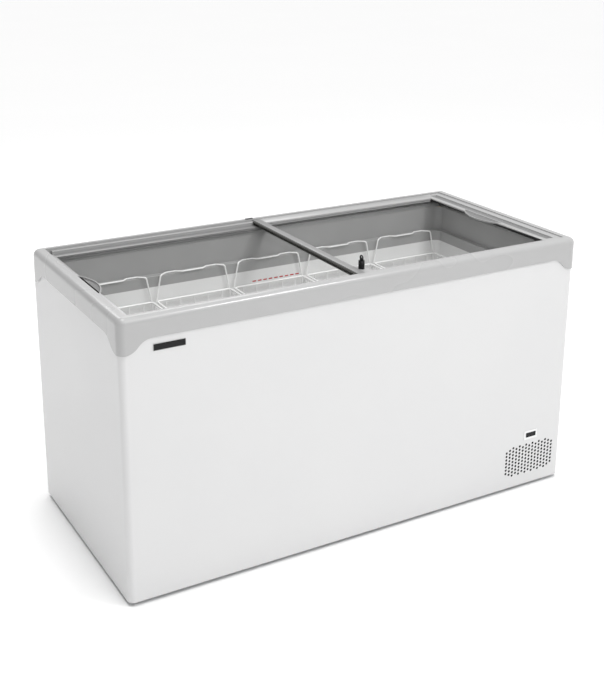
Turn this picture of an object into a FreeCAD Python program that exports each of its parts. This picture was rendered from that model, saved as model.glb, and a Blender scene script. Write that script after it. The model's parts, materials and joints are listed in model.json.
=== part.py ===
import FreeCAD, Part
import math
import os
import re
from types import SimpleNamespace

import Sketcher
from FreeCAD import Placement, Rotation, Vector

# A glass-topped chest freezer: a foamed steel cabinet with a moulded top frame, two flat glass lids that
# slide past each other at two levels, five lift-out wire baskets and a compressor bay at the right end.
# Millimetres, +Z up, +X to the right seen from the front, front face at -Y, origin on the floor below the
# middle of the cabinet.

doc = FreeCAD.newDocument("chest_freezer")

# ---------------------------------------------------------------- driving dimensions
DIMENSIONS = {
    "frame_length": 1503,
    "frame_depth": 700,
    "frame_top": 818,
    "skirt_drop": 61,
    "corner_drop": 98,
    "corner_sweep_x": 77,
    "corner_sweep_y": 86,
    "frame_round": 18,
    "corner_round": 21,
    "skirt_thick": 3.4,
    "ground_gap": 12,
    "steel": 1,
    "base_steel": 1.2,
    "deck": 776,
    "end_wall": 50,
    "long_wall": 58,
    "ledge_height": 695,
    "ledge_width": 16,
    "collar_foot": 660,
    "collar_skin": 2,
    "liner_skin": 1.2,
    "liner_round": 25,
    "floor_height": 70,
    "hump_face": 440,
    "hump_top": 340,
    "bay_face": 500,
    "bay_top": 282,
    "rim_front": 27,
    "rim_end": 32,
    "lid_floor": 790,
    "lid_thick": 11,
    "lid_gap": 3,
    "glass_thick": 4,
    "glass_lift": 1,
    "glass_bite": 2,
    "slide_width": 12,
    "lower_rear_slide": 28,
    "upper_rear_slide": 50,
    "rear_shelf_rise": 7,
    "lid_play": 0.6,
    "rail_play": 0.4,
    "lower_end_width": 22,
    "upper_end_width": 70,
    "meeting_profile": 24,
    "lower_lid_edge": 10,
    "upper_lid_edge": 27,
    "brush_thick": 6,
    "inner_bead": 18,
    "outer_bead": 24,
    "bead_groove": 5,
    "grip_chord": 165,
    "grip_bulge": 24,
    "grip_lip": 3,
    "grip_reach": 14,
    "basket_pitch": 268,
    "basket_width": 260,
    "basket_depth": 524,
    "basket_rim_top": 620,
    "basket_floor": 415,
    "basket_rim_wire": 6,
    "basket_wall": 3.4,
    "handle_wire": 5,
    "handle_bend": 8,
    "handle_foot": 127,
    "handle_top": 110,
    "shoulder_half": 86,
    "grip_half": 36,
    "grip_step": 15,
    "grip_slope": 16,
    "lock_across": 6,
    "lock_along": -280,
    "barrel_radius": 9,
    "plug_radius": 6.5,
    "lock_rise": 24,
    "compressor_along": 70,
    "compressor_radius": 72,
    "compressor_tall": 168,
    "fan_across": 622,
    "fan_height": 95,
    "fan_radius": 62,
    "coil_tube": 8,
    "coil_pitch": 42,
    "coil_start": 400,
    "roller_across": 640,
    "roller_along": 292,
    "roller_radius": 19,
    "roller_width": 22,
    "axle_radius": 4,
    "foot_radius": 23,
    "drain_across": -560,
    "drain_along": -180,
    "drain_hole": 12,
    "gland_across": 725,
    "gland_height": 60,
}
BASKETS = 5
COIL_TURNS = 6

dims = doc.addObject("Spreadsheet::Sheet", "dims")
for row, (alias, number) in enumerate(DIMENSIONS.items(), 1):
    dims.set(f"A{row}", alias.replace("_", " "))
    dims.set(f"B{row}", str(number))
    dims.setAlias(f"B{row}", alias)
doc.recompute()
s = SimpleNamespace(**{alias: float(dims.get(alias)) for alias in DIMENSIONS})

# ---------------------------------------------------------------- places that several parts share
HALF_X = "frame_length / 2"
HALF_Y = "frame_depth / 2"
CABINET_X = "(frame_length / 2 - skirt_thick)"
CABINET_Y = "(frame_depth / 2 - skirt_thick)"
WALL_X = "(frame_length / 2 - end_wall)"
WALL_Y = "(frame_depth / 2 - long_wall)"
TUB_X = "(frame_length / 2 - end_wall - ledge_width)"
TUB_Y = "(frame_depth / 2 - long_wall - ledge_width)"
LID_X = "(frame_length / 2 - rim_end)"
UPPER_LID_Y = "(frame_depth / 2 - rim_front - lid_play)"
LOWER_LID_Y = "(frame_depth / 2 - rim_front - lid_play - slide_width - 1)"
UPPER_FLOOR = "(lid_floor + lid_thick + lid_gap)"
REAR_STEP = f"({UPPER_LID_Y} - slide_width - 2 * rail_play)"
LINER_X = "(frame_length / 2 - end_wall - ledge_width + liner_skin)"
LINER_Y = "(frame_depth / 2 - long_wall - ledge_width + liner_skin)"

half_x = s.frame_length / 2
half_y = s.frame_depth / 2
cabinet_x = half_x - s.skirt_thick
cabinet_y = half_y - s.skirt_thick
wall_x = half_x - s.end_wall
wall_y = half_y - s.long_wall
tub_x = wall_x - s.ledge_width
tub_y = wall_y - s.ledge_width
lid_x = half_x - s.rim_end
upper_lid_y = half_y - s.rim_front - s.lid_play
upper_floor = s.lid_floor + s.lid_thick + s.lid_gap
upper_top = upper_floor + s.lid_thick
base_top = s.ground_gap + s.base_steel
mount_top = base_top + 20

sub_parts = []


# ---------------------------------------------------------------- ways of making things
def bound(text):
    """An expression with every dimension's name pointed at its cell in the sheet."""
    return re.sub(r"[a-z_]{2,}", lambda match: "dims." + match.group(0), str(text))


def keep(thing, label):
    thing.Label = label
    sub_parts.append(thing)
    return thing


def block(name, x_from, x_to, y_from, y_to, z_from, z_to):
    """A box between three pairs of coordinates, each an expression."""
    box = doc.addObject("Part::Box", name)
    box.setExpression("Length", bound(f"({x_to}) - ({x_from})"))
    box.setExpression("Width", bound(f"({y_to}) - ({y_from})"))
    box.setExpression("Height", bound(f"({z_to}) - ({z_from})"))
    box.setExpression("Placement.Base.x", bound(x_from))
    box.setExpression("Placement.Base.y", bound(y_from))
    box.setExpression("Placement.Base.z", bound(z_from))
    return box


def upright_rod(name, radius, length, across, along, height):
    rod = doc.addObject("Part::Cylinder", name)
    rod.setExpression("Radius", bound(radius))
    rod.setExpression("Height", bound(length))
    rod.setExpression("Placement.Base.x", bound(across))
    rod.setExpression("Placement.Base.y", bound(along))
    rod.setExpression("Placement.Base.z", bound(height))
    return rod


def cut(name, base, tool):
    result = doc.addObject("Part::Cut", name)
    result.Base = base
    result.Tool = tool
    return result


def common(name, base, tool):
    result = doc.addObject("Part::Common", name)
    result.Base = base
    result.Tool = tool
    return result


def fuse(name, *shapes):
    result = doc.addObject("Part::MultiFuse", name)
    result.Shapes = list(shapes)
    return result


def group(name, pieces):
    """Several separate solids that count as one sub-part."""
    result = doc.addObject("Part::Compound", name)
    result.Links = pieces
    return result


def solid(label, shape):
    feature = doc.addObject("Part::Feature", label)
    feature.Shape = shape
    return keep(feature, label)


def new_body(label):
    return keep(doc.addObject("PartDesign::Body", label), label)


def plane_sketch(body, name, plane, lift):
    """An empty sketch on one of the body's own planes, lifted along its normal."""
    origin_plane = next(f for f in body.Origin.OriginFeatures if f.Role == plane + "_Plane")
    sketch = body.newObject("Sketcher::SketchObject", name)
    sketch.AttachmentSupport = [(origin_plane, "")]
    sketch.MapMode = "FlatFace"
    sketch.setExpression("AttachmentOffset.Base.z", bound(lift))
    return sketch


def rectangle(sketch, left, right, low, high):
    """A rectangle in a sketch, held by the four distances of two corners from the origin."""
    corners = [Vector(0, 0, 0), Vector(10, 0, 0), Vector(10, 10, 0), Vector(0, 10, 0)]
    first = sketch.GeometryCount
    for index in range(4):
        sketch.addGeometry(Part.LineSegment(corners[index], corners[(index + 1) % 4]), False)
    for index in range(4):
        sketch.addConstraint(Sketcher.Constraint("Coincident", first + index, 2, first + (index + 1) % 4, 1))
    for index in (0, 2):
        sketch.addConstraint(Sketcher.Constraint("Horizontal", first + index))
        sketch.addConstraint(Sketcher.Constraint("Vertical", first + index + 1))
    limits = [("DistanceX", first, 1, left), ("DistanceY", first, 1, low),
              ("DistanceX", first + 1, 2, right), ("DistanceY", first + 1, 2, high)]
    for kind, edge, end, expression in limits:
        place = sketch.addConstraint(Sketcher.Constraint(kind, -1, 1, edge, end, 10.0))
        sketch.setExpression(f"Constraints[{place}]", bound(expression))
    return sketch


def outline(sketch, *edges):
    for edge in edges:
        sketch.addGeometry(edge, False)
    return sketch


def closed_outline(sketch, points):
    count = len(points)
    for index in range(count):
        start = Vector(*points[index], 0)
        end = Vector(*points[(index + 1) % count], 0)
        sketch.addGeometry(Part.LineSegment(start, end), False)
    return sketch


def rounded_outline(sketch, across, deep, radius):
    """A rectangle centred on the sketch's origin with four rounded corners."""
    quarter = math.pi / 2
    for turn, (side_x, side_y) in enumerate([(1, 1), (-1, 1), (-1, -1), (1, -1)]):
        centre = Vector(side_x * (across - radius), side_y * (deep - radius), 0)
        circle = Part.Circle(centre, Vector(0, 0, 1), radius)
        sketch.addGeometry(Part.ArcOfCircle(circle, turn * quarter, (turn + 1) * quarter), False)
    flat_x = across - radius
    flat_y = deep - radius
    for start, end in [((across, -flat_y), (across, flat_y)), ((flat_x, deep), (-flat_x, deep)),
                       ((-across, flat_y), (-across, -flat_y)), ((-flat_x, -deep), (flat_x, -deep))]:
        sketch.addGeometry(Part.LineSegment(Vector(*start, 0), Vector(*end, 0)), False)
    return sketch


def cabinet_outline(sketch, inset, open_back=False):
    """The cabinet's footprint, drawn in by the inset: round at the front, square or open at the back."""
    across = cabinet_x - inset
    deep = cabinet_y - inset
    back = cabinet_y if open_back else deep
    bend = s.corner_round - s.skirt_thick - inset
    for sign, start in ((-1, math.pi), (1, 1.5 * math.pi)):
        circle = Part.Circle(Vector(sign * (across - bend), bend - deep, 0), Vector(0, 0, 1), bend)
        outline(sketch, Part.ArcOfCircle(circle, start, start + math.pi / 2))
    straights = [((bend - across, -deep), (across - bend, -deep)), ((across, bend - deep), (across, back)),
                 ((across, back), (-across, back)), ((-across, back), (-across, bend - deep))]
    for start, end in straights:
        outline(sketch, Part.LineSegment(Vector(*start, 0), Vector(*end, 0)))
    return sketch


def pad(body, sketch, length, centred=False):
    feature = body.newObject("PartDesign::Pad", sketch.Name + "_pad")
    feature.Profile = sketch
    feature.setExpression("Length", bound(length))
    if centred:
        feature.SideType = "Symmetric"
    return feature


def pocket(body, sketch, depth, centred=False):
    feature = body.newObject("PartDesign::Pocket", sketch.Name + "_pocket")
    feature.Profile = sketch
    feature.setExpression("Length", bound(depth))
    if centred:
        feature.SideType = "Symmetric"
    return feature


def edges_where(feature, test):
    doc.recompute()
    names = [f"Edge{n}" for n, edge in enumerate(feature.Shape.Edges, 1) if test(edge)]
    return (feature, names)


def round_edges(body, feature, test, radius):
    fillet = body.newObject("PartDesign::Fillet", feature.Name + "_fillet")
    fillet.Base = edges_where(feature, test)
    fillet.setExpression("Radius", bound(radius))
    return fillet


def is_upright(edge):
    return len(edge.Vertexes) == 2 and all(
        abs(a - b) < 1e-6
        for a, b in zip(edge.Vertexes[0].Point[:2], edge.Vertexes[1].Point[:2])
    )


def lies_at(edge, height):
    box = edge.BoundBox
    return abs(box.ZMin - height) < 1e-4 and abs(box.ZMax - height) < 1e-4


def bent_wire(points, radius, bend, closed=False):
    """A round wire through the points, with each inner corner bent to the radius bend."""
    corners = [Vector(*point) for point in points]
    count = len(corners)
    trimmed = []
    for index, corner in enumerate(corners):
        if not closed and index in (0, count - 1):
            trimmed.append((corner, corner, corner))
            continue
        before = (corners[index - 1] - corner).normalize()
        after = (corners[(index + 1) % count] - corner).normalize()
        half_angle = before.getAngle(after) / 2
        reach = bend / math.tan(half_angle)
        middle = corner + (before + after).normalize() * (bend / math.sin(half_angle) - bend)
        trimmed.append((corner + before * reach, middle, corner + after * reach))
    edges = []
    for index in range(count if closed else count - 1):
        start, middle, end = trimmed[index]
        if (end - start).Length > 1e-6:
            edges.append(Part.Arc(start, middle, end).toShape())
        edges.append(Part.LineSegment(end, trimmed[(index + 1) % count][0]).toShape())
    path = Part.Wire(edges)
    first = edges[0]
    tangent = first.tangentAt(first.FirstParameter)
    section = Part.Wire(Part.Circle(first.valueAt(first.FirstParameter), tangent, radius).toShape())
    return path.makePipeShell([section], True, False)


# ---------------------------------------------------------------- cabinet
def make_outer_wrap():
    """One painted sheet bent round the left end, the front and the right end, with the vent punched in it."""
    body = new_body("outer_wrap")
    whole = plane_sketch(body, "wrap_outside", "XY", "ground_gap")
    cabinet_outline(whole, 0)
    pad(body, whole, "deck - ground_gap")
    hollow = plane_sketch(body, "wrap_inside", "XY", "deck")
    cabinet_outline(hollow, s.steel, open_back=True)
    pocket(body, hollow, "deck - ground_gap")
    holes = plane_sketch(body, "vent_holes", "XZ", HALF_Y)
    columns = 15
    first_column = 525.5
    column_pitch = 13.1
    row_pitch = 12
    middle_height = 101
    hole_radius = 4.2
    for column in range(columns):
        count = 7 if column in (0, columns - 1) else 9 - column % 2
        for row in range(count):
            height = middle_height + (row - (count - 1) / 2) * row_pitch
            place = Vector(first_column + column * column_pitch, height, 0)
            holes.addGeometry(Part.Circle(place, Vector(0, 0, 1), hole_radius), False)
    window = plane_sketch(body, "display_hole", "XZ", HALF_Y)
    rectangle(window, "596", "640", "172", "192")
    pocket(body, holes, "skirt_thick + steel + 2")
    pocket(body, window, "skirt_thick + steel + 2")


def make_back_panel():
    """The rear sheet, between the ends of the wrap, with rows of slots behind the compressor."""
    body = new_body("back_panel")
    sheet = plane_sketch(body, "back_sheet", "XZ", f"-{CABINET_Y}")
    rectangle(sheet, f"-({CABINET_X} - steel)", f"{CABINET_X} - steel", "ground_gap", "deck")
    pad(body, sheet, "steel")
    slots = plane_sketch(body, "back_slots", "XZ", f"-{CABINET_Y}")
    slot_length = 80
    slot_height = 6
    for row in range(9):
        low = 62 + row * 20
        for left in (530, 625):
            rectangle(slots, str(left), str(left + slot_length), str(low), str(low + slot_height))
    gland = plane_sketch(body, "gland_hole", "XZ", f"-{CABINET_Y}")
    outline(gland, Part.Circle(Vector(s.gland_across, s.gland_height, 0), Vector(0, 0, 1), 8))
    for cutter in (slots, gland):
        pocket(body, cutter, "3 * steel", centred=True)


def make_base_panel():
    body = new_body("base_panel")
    sheet = plane_sketch(body, "base_sheet", "XY", "ground_gap")
    cabinet_outline(sheet, s.steel)
    pad(body, sheet, "base_steel")
    holes = plane_sketch(body, "base_holes", "XY", "ground_gap + base_steel")
    for side in ("-", ""):
        roller_window(holes, side)
    for row in range(6):
        rectangle(holes, "540", "700", str(-80 + 30 * row), str(-68 + 30 * row))
    drain_circle(holes)
    pocket(body, holes, "2 * base_steel")


def roller_window(sketch, side):
    """The opening round one rear roller; side is a minus sign for the left one."""
    rectangle(sketch, f"{side}roller_across - roller_width / 2 - 6",
              f"{side}roller_across + roller_width / 2 + 6",
              "roller_along - roller_radius - 6", "roller_along + roller_radius + 6")


def drain_circle(sketch):
    outline(sketch, Part.Circle(Vector(s.drain_across, s.drain_along, 0), Vector(0, 0, 1), s.drain_hole))


def make_foam():
    """The insulation, in slabs: the floor, the step over the bay and the walls, with grooves for the coil."""
    body = doc.addObject("PartDesign::Body", "foam_whole")
    outer = plane_sketch(body, "foam_outline", "XY", "ground_gap + base_steel")
    cabinet_outline(outer, s.steel)
    pad(body, outer, "deck - ground_gap - base_steel")

    def hollow(name, x_from, x_to, reach_y, top, depth):
        sketch = plane_sketch(body, name, "XY", top)
        rectangle(sketch, x_from, x_to, f"-({reach_y})", reach_y)
        pocket(body, sketch, depth)

    collar_x = f"{WALL_X} + collar_skin"
    neck_x = f"{TUB_X} + collar_skin"
    hollow("foam_mouth", f"-({collar_x})", collar_x, f"{WALL_Y} + collar_skin", "deck",
           "deck - ledge_height + collar_skin")
    hollow("foam_neck", f"-({neck_x})", neck_x, f"{TUB_Y} + collar_skin", "ledge_height",
           "ledge_height - collar_foot")
    hollow("foam_tub", f"-{LINER_X}", LINER_X, LINER_Y, "collar_foot + 1",
           "collar_foot + 1 - hump_top + liner_skin")
    hollow("foam_deep", f"-{LINER_X}", "hump_face + liner_skin", LINER_Y, "hump_top",
           "hump_top - floor_height + liner_skin")
    hollow("foam_bay", "bay_face - steel", HALF_X, HALF_Y, "bay_top + steel", "bay_top + steel")
    for turn in range(COIL_TURNS):
        hollow(f"coil_groove_{turn}", f"-({LINER_X} + coil_tube)", f"{LINER_X} + coil_tube",
               f"{LINER_Y} + coil_tube", f"coil_start + {turn} * coil_pitch + coil_tube / 2", "coil_tube")
    riser = plane_sketch(body, "coil_riser", "XY",
                         f"coil_start + {COIL_TURNS - 1} * coil_pitch + coil_tube / 2")
    rectangle(riser, "-70", "70", f"-({LINER_Y} + coil_tube)", f"-{TUB_Y}")
    pocket(body, riser, f"{COIL_TURNS - 1} * coil_pitch + coil_tube")
    drain = plane_sketch(body, "foam_drain", "XY", "floor_height")
    drain_circle(drain)
    pocket(body, drain, "floor_height")
    wheel = plane_sketch(body, "foam_roller", "XY", "ground_gap + 34")
    roller_window(wheel, "-")
    pocket(body, wheel, "34")
    keep(group("foam_slabs", foam_slabs(body)), "insulation_foam")


def foam_slabs(body):
    """The whole foam, parted where one wall meets the next."""
    ends = (f"-{HALF_X}", HALF_X)
    step = "hump_face + liner_skin"
    bay = "bay_face - steel"
    floor = "floor_height - liner_skin"
    shelf = "hump_top - liner_skin"
    regions = [
        (ends[0], step, f"-{HALF_Y}", HALF_Y, "0", floor),
        (step, bay, f"-{HALF_Y}", HALF_Y, "0", shelf),
        (bay, ends[1], f"-{HALF_Y}", HALF_Y, "0", shelf),
        (ends[0], f"-{LINER_X}", f"-{LINER_Y}", LINER_Y, floor, "deck"),
        (LINER_X, ends[1], f"-{LINER_Y}", LINER_Y, shelf, "deck"),
    ]
    for wall in ((f"-{HALF_Y}", f"-{LINER_Y}"), (LINER_Y, HALF_Y)):
        regions.append((ends[0], step, *wall, floor, shelf))
        regions.append((*ends, *wall, shelf, "deck"))
    return [common(f"foam_slab_{number}", body, block(f"foam_region_{number}", *region))
            for number, region in enumerate(regions, 1)]


def make_liner():
    """The white tub, folded from one sheet, with a step over the compressor bay."""
    body = new_body("inner_liner")
    section = plane_sketch(body, "tub_section", "XZ", "0")
    skin = s.liner_skin
    left = -(tub_x + skin)
    right = tub_x + skin
    step = s.hump_face + skin
    floor = s.floor_height - skin
    shelf = s.hump_top - skin
    closed_outline(section, [(left, floor), (step, floor), (step, shelf), (right, shelf),
                             (right, s.collar_foot), (left, s.collar_foot)])
    solid_tub = pad(body, section, f"2 * {LINER_Y}", centred=True)
    rounded = round_edges(body, solid_tub, is_upright, "liner_round + liner_skin")
    doc.recompute()
    top = max(range(len(rounded.Shape.Faces)), key=lambda n: rounded.Shape.Faces[n].CenterOfMass.z)
    shell = body.newObject("PartDesign::Thickness", "tub_shell")
    shell.Base = (rounded, [f"Face{top + 1}"])
    shell.setExpression("Value", bound("liner_skin"))
    shell.Reversed = True
    shell.Join = 1
    drain = plane_sketch(body, "tub_drain", "XY", "floor_height")
    drain_circle(drain)
    pocket(body, drain, "2 * liner_skin")


def make_collar():
    """The grey upper lining with the ledge that the basket handles rest on."""
    body = new_body("inner_collar")
    skin = s.collar_skin
    upper = plane_sketch(body, "collar_upper", "XY", "ledge_height - collar_skin")
    rounded_outline(upper, wall_x + skin, wall_y + skin, s.liner_round + skin)
    pad(body, upper, "deck - ledge_height + collar_skin")
    lower = plane_sketch(body, "collar_lower", "XY", "collar_foot")
    rounded_outline(lower, tub_x + skin, tub_y + skin, s.liner_round + skin)
    pad(body, lower, "ledge_height - collar_foot - collar_skin")
    mouth = plane_sketch(body, "collar_mouth", "XY", "deck")
    rounded_outline(mouth, wall_x, wall_y, s.liner_round)
    pocket(body, mouth, "deck - ledge_height")
    neck = plane_sketch(body, "collar_neck", "XY", "ledge_height")
    rounded_outline(neck, tub_x, tub_y, s.liner_round)
    last = pocket(body, neck, "ledge_height - collar_foot")

    def ledge_edge(edge):
        inside = abs(edge.BoundBox.XMax) < tub_x + 0.01 and abs(edge.BoundBox.XMin) < tub_x + 0.01
        return lies_at(edge, s.ledge_height) and inside

    round_edges(body, last, ledge_edge, "1.5")


def skirt_cut(sketch, reach, sweep, flat_from):
    """The gap between two corner drops: a straight edge with an S of two equal arcs at each end."""
    low = s.frame_top - s.corner_drop
    high = s.frame_top - s.skirt_drop
    rise = high - low
    radius = (sweep ** 2 + rise ** 2) / (4 * rise)
    turn = 2 * math.atan(rise / sweep)
    outer = reach - flat_from
    inner = outer - sweep
    for sign in (-1, 1):
        lower_centre = Vector(sign * outer, low + radius, 0)
        upper_centre = Vector(sign * inner, high - radius, 0)
        if sign > 0:
            lower = (1.5 * math.pi - turn, 1.5 * math.pi)
            upper = (0.5 * math.pi - turn, 0.5 * math.pi)
        else:
            lower = (1.5 * math.pi, 1.5 * math.pi + turn)
            upper = (0.5 * math.pi, 0.5 * math.pi + turn)
        normal = Vector(0, 0, 1)
        outline(sketch, Part.ArcOfCircle(Part.Circle(lower_centre, normal, radius), *lower),
                Part.ArcOfCircle(Part.Circle(upper_centre, normal, radius), *upper),
                Part.LineSegment(Vector(sign * outer, low, 0), Vector(sign * outer, low - 5, 0)))
    outline(sketch, Part.LineSegment(Vector(-inner, high, 0), Vector(inner, high, 0)),
            Part.LineSegment(Vector(-outer, low - 5, 0), Vector(outer, low - 5, 0)))


def make_top_frame():
    """The moulded frame: a rounded rim round the lid well and a skirt that drops at the four corners."""
    body = new_body("top_frame")
    whole = plane_sketch(body, "frame_outline", "XY", "frame_top - corner_drop")
    rectangle(whole, f"-{HALF_X}", HALF_X, f"-{HALF_Y}", HALF_Y)
    slab = pad(body, whole, "corner_drop")
    corners = round_edges(body, slab, is_upright, "corner_round")
    round_edges(body, corners, lambda edge: lies_at(edge, s.frame_top), "frame_round")
    under = plane_sketch(body, "frame_socket", "XY", "deck")
    cabinet_outline(under, 0)
    pocket(body, under, "frame_top")
    front = plane_sketch(body, "skirt_front", "XZ", "0")
    skirt_cut(front, half_x, s.corner_sweep_x, 15)
    pocket(body, front, "2 * frame_depth", centred=True)
    side = plane_sketch(body, "skirt_side", "YZ", "0")
    skirt_cut(side, half_y, s.corner_sweep_y, 18)
    pocket(body, side, "2 * frame_length", centred=True)
    well = plane_sketch(body, "lid_well", "XY", "frame_top + 1")
    rectangle(well, f"-{LID_X}", LID_X, f"-({HALF_Y} - rim_front)", f"{HALF_Y} - rim_front")
    pocket(body, well, "frame_top")


def make_tracks():
    """Two stepped rails and a sill at each end: the upper lid slides on the outer shelf of the rails,
    the lower lid on the inner one, and each lid ends over its own sill."""
    outer = half_y - s.rim_front
    step = upper_lid_y - s.slide_width - s.rail_play
    low_shelf = s.lid_floor - s.rail_play
    front_shelf = upper_floor - s.rail_play
    rails = []
    for side, high_shelf in ((-1, front_shelf), (1, front_shelf + s.rear_shelf_rise)):
        points = [(outer, s.deck), (wall_y, s.deck), (wall_y, low_shelf), (step, low_shelf),
                  (step, high_shelf), (outer, high_shelf)]
        corners = [Vector(-wall_x, side * y, z) for y, z in points]
        face = Part.Face(Part.makePolygon(corners + corners[:1]))
        rails.append(face.extrude(Vector(2 * wall_x, 0, 0)))
    sills = []
    for left, top in ((-lid_x, low_shelf), (wall_x, front_shelf)):
        sills.append(Part.makeBox(lid_x - wall_x, 2 * outer, top - s.deck, Vector(left, -outer, s.deck)))
    solid("lid_tracks", Part.makeCompound(rails + sills))


def make_bay_panel():
    body = new_body("compressor_bay_panel")
    section = plane_sketch(body, "bay_section", "XZ", "0")
    right = cabinet_x - s.steel
    points = [(s.bay_face - s.steel, base_top), (s.bay_face, base_top), (s.bay_face, s.bay_top),
              (right, s.bay_top), (right, s.bay_top + s.steel), (s.bay_face - s.steel, s.bay_top + s.steel)]
    closed_outline(section, points)
    sheet = pad(body, section, f"2 * ({CABINET_Y} - steel)", centred=True)

    def at_front_corner(edge):
        place = edge.CenterOfMass
        return is_upright(edge) and place.x > right - 1 and place.y < 0

    round_edges(body, sheet, at_front_corner, "corner_round - skirt_thick - steel")


def make_front_details():
    plate = block("name_plate_block", f"93 - {HALF_X}", f"184 - {HALF_X}",
                  f"-{CABINET_Y} - 1.2", f"-{CABINET_Y}", "718.5", "738.5")
    keep(plate, "name_plate")
    bezel = block("bezel_block", "591.5", "644.5", f"-{CABINET_Y} - 1.6", f"-{CABINET_Y}", "167.5", "197")
    opening = block("bezel_opening", "599", "639", f"-{CABINET_Y} - 3", f"-{CABINET_Y} + 3", "174.5", "190.5")
    keep(cut("bezel_cut", bezel, opening), "display_bezel")
    window = block("window_block", "599", "639", f"-{CABINET_Y} - 1", f"-{CABINET_Y} + steel",
                   "174.5", "190.5")
    keep(window, "display_window")
    module = block("module_block", "594", "642", f"-{CABINET_Y} + steel + 0.2", f"-{CABINET_Y} + 42",
                   "168", "196")
    keep(module, "controller_module")
    stop = block("stop_block", "-50", "-24", f"{HALF_Y} - rim_front + 2", f"{HALF_Y} - rim_front + 9",
                 "frame_top", "frame_top + 2")
    keep(stop, "rear_lid_stop")


def make_load_marks():
    """A dashed load line on the back wall of the tub."""
    dash_pitch = 20
    dashes = []
    for index in range(9):
        left = -53 + index * dash_pitch
        dashes.append(Part.makeBox(0.65 * dash_pitch, 0.3, 4, Vector(left, tub_y - 0.3, 620)))
    solid("load_line_marks", Part.makeCompound(dashes))


# ---------------------------------------------------------------- lids
def make_lid(lid):
    """Two slides, an end profile with a finger grip and a meeting profile; gives back the glass."""
    top = f"({lid.floor} + lid_thick)"
    if lid.is_upper:
        end_from, end_to = f"({lid.right} - {lid.end_width})", lid.right
        meet_from, meet_to = lid.left, f"({lid.left} + meeting_profile)"
        glass_from, glass_to = f"({meet_to} - glass_bite)", f"({end_from} + glass_bite)"
        slide_from, slide_to = meet_to, end_from
    else:
        end_from, end_to = lid.left, f"({lid.left} + {lid.end_width})"
        meet_from, meet_to = f"({lid.right} - meeting_profile)", lid.right
        glass_from, glass_to = f"({end_to} - glass_bite)", f"({meet_from} + glass_bite)"
        slide_from, slide_to = end_to, meet_from

    def pane(tag):
        return block(f"{lid.name}_pane_{tag}", glass_from, glass_to, f"-{glass_front(lid)}", glass_back(lid),
                     f"{lid.floor} + glass_lift", f"{lid.floor} + glass_lift + glass_thick")

    def bar(tag, x_from, x_to, y_from, y_to):
        whole = block(f"{lid.name}_{tag}_bar", x_from, x_to, y_from, y_to, lid.floor, top)
        seated = cut(f"{lid.name}_{tag}_seat", whole, pane(tag))
        if not lid.is_upper:
            return seated
        step = block(f"{lid.name}_{tag}_step", lid.left, lid.right, REAR_STEP, HALF_Y,
                     f"{lid.floor} - 1", f"{lid.floor} + rear_shelf_rise")
        return cut(f"{lid.name}_{tag}_stepped", seated, step)

    front = bar("front", slide_from, slide_to, f"-{lid.reach}", f"-({lid.reach} - slide_width)")
    rear = bar("rear", slide_from, slide_to, f"{lid.reach} - {lid.rear_slide}", lid.reach)
    keep(fuse(f"{lid.name}_both_slides", front, rear), f"{lid.name}_slides")
    keep(bar("meeting", meet_from, meet_to, f"-{lid.reach}", lid.reach), f"{lid.name}_meeting_profile")
    make_end_profile(lid, end_from, end_to)
    return pane("glass")


def glass_front(lid):
    return f"({lid.reach} - slide_width + glass_bite)"


def glass_back(lid):
    return f"({lid.reach} - {lid.rear_slide} + glass_bite)"


def make_end_profile(lid, x_from, x_to):
    """The lid's outer end: a raised crescent lip to hook the fingers behind; the upper one has two beads."""
    body = new_body(f"{lid.name}_end_profile")
    slab = plane_sketch(body, f"{lid.name}_end_slab", "XY", lid.floor)
    rectangle(slab, x_from, x_to, f"-{lid.reach}", lid.reach)
    pad(body, slab, "lid_thick")
    sign = -1 if lid.is_upper else 1
    inner_edge = x_from if lid.is_upper else x_to
    radius = ((s.grip_chord / 2) ** 2 + s.grip_bulge ** 2) / (2 * s.grip_bulge)
    half_turn = math.asin(s.grip_chord / 2 / radius)
    lip = plane_sketch(body, f"{lid.name}_grip_lip", "XY", f"{lid.floor} + glass_lift + glass_thick")
    add_segment(lip, sign, radius, half_turn)
    lip.setExpression("AttachmentOffset.Base.x", bound(inner_edge))
    pad(body, lip, "lid_thick - glass_lift - glass_thick")
    scoop = plane_sketch(body, f"{lid.name}_grip_scoop", "XY", f"{lid.floor} + lid_thick")
    scoop_radius = radius - s.grip_lip
    chord_back = radius - s.grip_bulge
    add_segment(scoop, sign, scoop_radius, math.acos((chord_back - s.grip_reach) / scoop_radius), chord_back)
    scoop.setExpression("AttachmentOffset.Base.x", bound(inner_edge))
    pocket(body, scoop, "bead_groove")
    slot = plane_sketch(body, f"{lid.name}_end_slot", "XY", f"{lid.floor} + glass_lift + glass_thick")
    if lid.is_upper:
        rectangle(slot, f"{x_from} - 1", f"{x_from} + glass_bite", f"-{glass_front(lid)}", glass_back(lid))
    else:
        rectangle(slot, f"{x_to} - glass_bite", f"{x_to} + 1", f"-{glass_front(lid)}", glass_back(lid))
    pocket(body, slot, "glass_thick")
    if lid.is_upper:
        groove = plane_sketch(body, f"{lid.name}_end_groove", "XY", f"{lid.floor} + lid_thick")
        rectangle(groove, f"{x_from} + inner_bead", f"{x_to} - outer_bead",
                  f"-({lid.reach} - inner_bead)", f"{lid.reach} - inner_bead")
        pocket(body, groove, "bead_groove")
        step = plane_sketch(body, f"{lid.name}_end_step", "XY", f"{lid.floor} + rear_shelf_rise")
        rectangle(step, f"{x_from} - 1", f"{x_to} + 1", REAR_STEP, HALF_Y)
        pocket(body, step, "rear_shelf_rise")


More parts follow.
